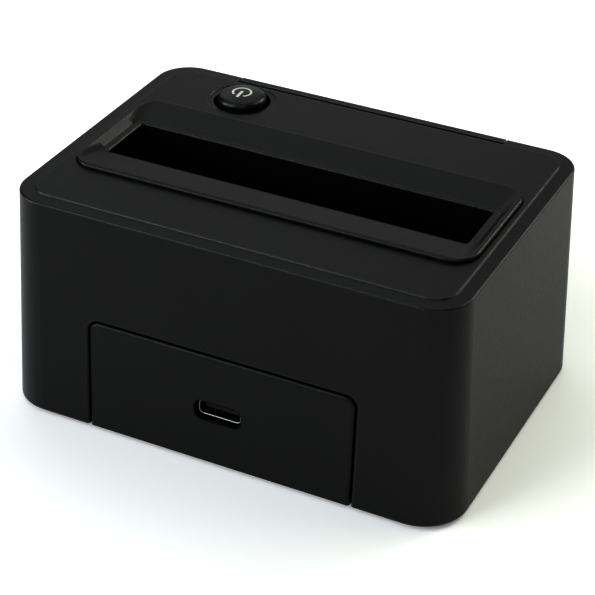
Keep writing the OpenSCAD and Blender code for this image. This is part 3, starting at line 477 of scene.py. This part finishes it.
class DOCK_OT_button(Operator):
    """Finishes the button's cap and prints the power mark on it"""

    bl_idname = "dock.button"
    bl_label = "Finish the button"

    def execute(self, context):
        plastic = context.scene.dock_plastic
        mark = context.scene.dock_mark
        finish = moulded_plastic(
            "cap_gloss", plastic.cap_colour, CAP_ROUGHNESS, CAP_SPECULAR, plastic, grain_share=0.3)
        paint(["power_button"], finish)
        ink = printed_ink(mark)
        self.print_ring(mark, ink)
        self.print_stem(mark, ink)
        return {"FINISHED"}

    def on_crown(self, x, y, crown):
        """Points of the spherical crown above (x, y), measured from its top."""
        height = np.sqrt(crown**2 - x**2 - y**2) - crown
        return np.stack([CAP_TOP.x + x, CAP_TOP.y + y, CAP_TOP.z + height], axis=-1)

    def print_ring(self, mark, ink):
        """Broken ring: an arc round the cap's middle that stays open towards the stem."""
        half = mark.stroke / 2
        sweep = 2 * math.pi - mark.gap
        along, width = stroke_ends(sweep * mark.ring, half)
        angle = -math.pi / 2 + mark.gap / 2 + along / mark.ring
        path = self.on_crown(mark.ring * np.cos(angle), mark.ring * np.sin(angle), mark.crown)
        across = np.stack([-np.cos(angle), -np.sin(angle), np.zeros_like(angle)], axis=-1)
        points = flat_tube(path, across, width, mark.ink)
        faces = tube_faces(*points.shape[:2])
        new_piece("power_mark_ring", points, faces, ink, "button")

    def print_stem(self, mark, ink):
        """Stem: a straight stroke from the ring's middle out through its opening."""
        half = mark.stroke / 2
        along, width = stroke_ends(mark.stem - half, half)
        path = self.on_crown(np.zeros_like(along), -along, mark.crown)
        across = np.tile((1.0, 0.0, 0.0), (len(along), 1))
        points = flat_tube(path, across, width, mark.ink)
        faces = tube_faces(*points.shape[:2])
        new_piece("power_mark_stem", points, faces, ink, "button")


class DOCK_OT_sockets(Operator):
    """Finishes the cable socket in the tongue and the drive's receptacle in the slot"""

    bl_idname = "dock.sockets"
    bl_label = "Finish the sockets"

    def execute(self, context):
        nickel = plated_metal(
            "sleeve_nickel", colour=(0.30, 0.30, 0.31), roughness=0.27, stretch=(1, 6, 1))
        self.roll_sleeve(context.scene.dock_port, nickel)
        gold = plated_metal(
            "contact_gold", colour=(0.75, 0.55, 0.24), roughness=0.25, stretch=(6, 1, 1))
        paint(["usb_contacts", "sata_contacts", "switch_pins"], gold)
        nylon = matt_compound(
            "socket_nylon", colour=(0.012, 0.012, 0.013), roughness=0.5, lump=0.0003)
        paint(["usb_tongue", "sata_receptacle"], nylon)
        return {"FINISHED"}

    def roll_sleeve(self, port, metal):
        """Sleeve: a thin wall with a half-round lip, carried round a rounded rectangle.

        Along the wall go the inset from the outer skin and the depth.
        The corners' radius shrinks with the inset, and the back is closed.
        """
        low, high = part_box("usb_shell")
        half = (high - low) / 2
        middle = (high + low) / 2
        lip = np.linspace(0, np.pi, LIP_STEPS)
        inset = port.wall / 2 * np.concatenate([[0], 1 - np.cos(lip), [2]])
        rolled = low.y + port.wall / 2 * (1 - np.sin(lip))
        depth = np.concatenate([[high.y], rolled, [high.y - port.wall]])
        turn = np.linspace(0, np.pi / 2, CORNER_STEPS)
        angle = (np.arange(4)[:, None] * np.pi / 2 + turn).ravel()
        side_x = np.repeat((1, -1, -1, 1), CORNER_STEPS) * (half.x - port.corner)
        side_z = np.repeat((1, 1, -1, -1), CORNER_STEPS) * (half.z - port.corner)
        radius = port.corner - inset[:, None]
        points = np.stack([middle.x + side_x + radius * np.cos(angle),
                           np.broadcast_to(depth[:, None], radius.shape[:1] + angle.shape),
                           middle.z + side_z + radius * np.sin(angle)], axis=-1)
        faces = tube_faces(*points.shape[:2])
        sleeve = new_piece("port_sleeve", points, faces, metal, "dock")
        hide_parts("usb_shell")


class DOCK_OT_electronics(Operator):
    """Finishes the boards, what is soldered to them and the cable between them"""

    bl_idname = "dock.electronics"
    bl_label = "Finish the electronics"

    def execute(self, context):
        paint(["main_board", "control_board"], board_laminate())
        epoxy = matt_compound(
            "component_epoxy", colour=(0.014, 0.014, 0.015), roughness=0.6, lump=0.00025)
        paint(["bridge_chip", "regulator", "inductor", "switch_body"], epoxy)
        can = plated_metal(
            "drawn_can", colour=(0.7, 0.7, 0.72), roughness=0.3, stretch=(1, 1, 6))
        paint(["capacitors", "crystal"], can)
        pale = matt_compound(
            "pale_nylon", colour=(0.72, 0.71, 0.66), roughness=0.45, lump=0.0004)
        paint(["switch_plunger", "flat_cable", "cable_sockets"], pale)
        paint(["light_pipe", "status_led"], clear_plastic())
        return {"FINISHED"}


class DOCK_OT_fittings(Operator):
    """Finishes the feet and the screws, and winds the switch's spring"""

    bl_idname = "dock.fittings"
    bl_label = "Finish the fittings"

    def execute(self, context):
        rubber = matt_compound(
            "foot_rubber", colour=(0.02, 0.02, 0.02), roughness=0.8, lump=0.0004)
        paint(["foot_rear_left", "foot_rear_right", "foot_front_left", "foot_front_right"], rubber)
        zinc = plated_metal(
            "screw_zinc", colour=(0.5, 0.5, 0.52), roughness=0.32, stretch=(1, 1, 4))
        paint(["base_screws", "bay_screws", "board_screws", "control_board_screws"], zinc)
        steel = plated_metal(
            "spring_steel", colour=(0.55, 0.55, 0.57), roughness=0.28, stretch=(1, 1, 4))
        self.wind_spring(context.scene.dock_spring, steel)
        return {"FINISHED"}

    def wind_spring(self, spring, metal):
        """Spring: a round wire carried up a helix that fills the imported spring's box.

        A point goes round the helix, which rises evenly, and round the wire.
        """
        low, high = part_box("switch_spring")
        middle = (high + low) / 2
        half = spring.wire / 2
        turn = np.linspace(0, 2 * np.pi * spring.turns, WIRE_STEPS * spring.turns + 1)[:, None]
        around = np.linspace(0, 2 * np.pi, WIRE_SIDES, endpoint=False)
        out = high.x - middle.x - half - half * np.cos(around)
        climb = low.z + half + (high.z - low.z - spring.wire) * turn / turn[-1]
        points = np.stack([middle.x + out * np.cos(turn), middle.y + out * np.sin(turn),
                           climb + half * np.sin(around)], axis=-1)
        faces = tube_faces(*points.shape[:2])
        coil = new_piece("switch_coil", points, faces, metal, "dock")
        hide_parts("switch_spring")
        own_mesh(coil)


class DOCK_OT_stage(Operator):
    """Sets the floor, the lights and the camera"""

    bl_idname = "dock.stage"
    bl_label = "Set the stage"

    def execute(self, context):
        scene = context.scene
        stage = scene.dock_stage
        scene.view_settings.view_transform = "Standard"
        scene.view_settings.gamma = stage.contrast
        self.lay_floor(scene, stage)
        self.light_room(scene)
        for lamp in LAMPS:
            self.add_lamp(scene, lamp, stage.lamp_distance)
        self.place_camera(scene, stage)
        return {"FINISHED"}

    def lay_floor(self, scene, stage):
        """A wide flat table at the feet."""
        signs = (-1, -1), (1, -1), (1, 1), (-1, 1)
        points = [(x * TABLE_HALF, y * TABLE_HALF, 0) for x, y in signs]
        material, tree, shader = new_material("table")
        colour = tint(tree, noise(tree, size=0.3), *shades(stage.floor_colour, share=0.01))
        tree.links.new(colour, shader.inputs["Base Color"])
        shader.inputs["Roughness"].default_value = 0.9
        shader.inputs["Specular IOR Level"].default_value = 0.1
        shader.inputs["Emission Color"].default_value = (0.98, 0.99, 1.0, 1)
        shader.inputs["Emission Strength"].default_value = stage.floor_glow
        mesh = bpy.data.meshes.new("table")
        mesh.from_pydata(points, [], [(0, 1, 2, 3)])
        mesh.materials.append(material)
        table = bpy.data.objects.new("table", mesh)
        scene.collection.objects.link(table)

    def light_room(self, scene):
        """A pale room that is seen past the table but adds no light to the dock."""
        scene.world = bpy.data.worlds.new("room")
        scene.world.use_nodes = True
        tree = scene.world.node_tree
        sky = tree.nodes["Background"]
        sky.inputs["Color"].default_value = (0.97, 0.98, 1.0, 1)
        tree.links.new(add_node(tree, "LightPath").outputs["Is Camera Ray"], sky.inputs["Strength"])

    def add_lamp(self, scene, lamp, distance):
        """A round soft light on a sphere round the dock, facing its middle, and not seen itself."""
        out = direction(math.radians(lamp.turn), math.radians(lamp.rise))
        light = bpy.data.lights.new(lamp.name, "AREA")
        light.shape = "DISK"
        light.size = lamp.width
        light.energy = lamp.power
        light.color = lamp.colour
        piece = bpy.data.objects.new(lamp.name, light)
        piece.location = out * distance + LAMP_AIM
        piece.rotation_euler = (-out).to_track_quat("-Z", "Y").to_euler()
        piece.visible_camera = False
        scene.collection.objects.link(piece)

    def place_camera(self, scene, stage):
        """Camera on a sphere round its aim, turned by the roll about its own axis."""
        turn, roll = stage.azimuth, stage.roll
        back = direction(turn, stage.elevation)
        right = Vector((math.cos(turn), math.sin(turn), 0))
        up = back.cross(right)
        level = right * math.cos(roll) + up * math.sin(roll)
        upright = up * math.cos(roll) - right * math.sin(roll)
        place = Vector(stage.aim) + back * stage.distance
        camera = bpy.data.objects.new("camera", bpy.data.cameras.new("camera"))
        camera.data.lens = stage.lens
        camera.data.clip_start = CLIP_START
        turned = Matrix((level, upright, back)).transposed().to_4x4()
        camera.matrix_world = Matrix.Translation(place) @ turned
        scene.collection.objects.link(camera)
        scene.camera = camera


class DOCK_PT_looks(Panel):
    """Lists what finishes the dock"""

    bl_label = "Dock"
    bl_space_type = "VIEW_3D"
    bl_region_type = "UI"
    bl_category = "Dock"

    def draw(self, context):
        for operator in OPERATORS:
            self.layout.operator(operator.bl_idname)


GROUPS = {"dock_plastic": DockPlastic, "dock_mark": DockMark, "dock_port": DockPort,
          "dock_spring": DockSpring, "dock_stage": DockStage}
OPERATORS = [DOCK_OT_shell, DOCK_OT_button, DOCK_OT_sockets,
             DOCK_OT_electronics, DOCK_OT_fittings, DOCK_OT_stage]
CLASSES = [*GROUPS.values(), *OPERATORS, DOCK_PT_looks]


def register():
    """Adds the classes and hangs their values on the scene."""
    for kind in CLASSES:
        bpy.utils.register_class(kind)
    for name, group in GROUPS.items():
        setattr(bpy.types.Scene, name, PointerProperty(type=group))


def unregister():
    """Takes away what register added."""
    for name in GROUPS:
        delattr(bpy.types.Scene, name)
    for kind in reversed(CLASSES):
        bpy.utils.unregister_class(kind)


def main():
    """Runs every operator in order."""
    register()
    for operator in OPERATORS:
        family, name = operator.bl_idname.split(".")
        getattr(getattr(bpy.ops, family), name)()


if __name__ == "__main__":
    main()
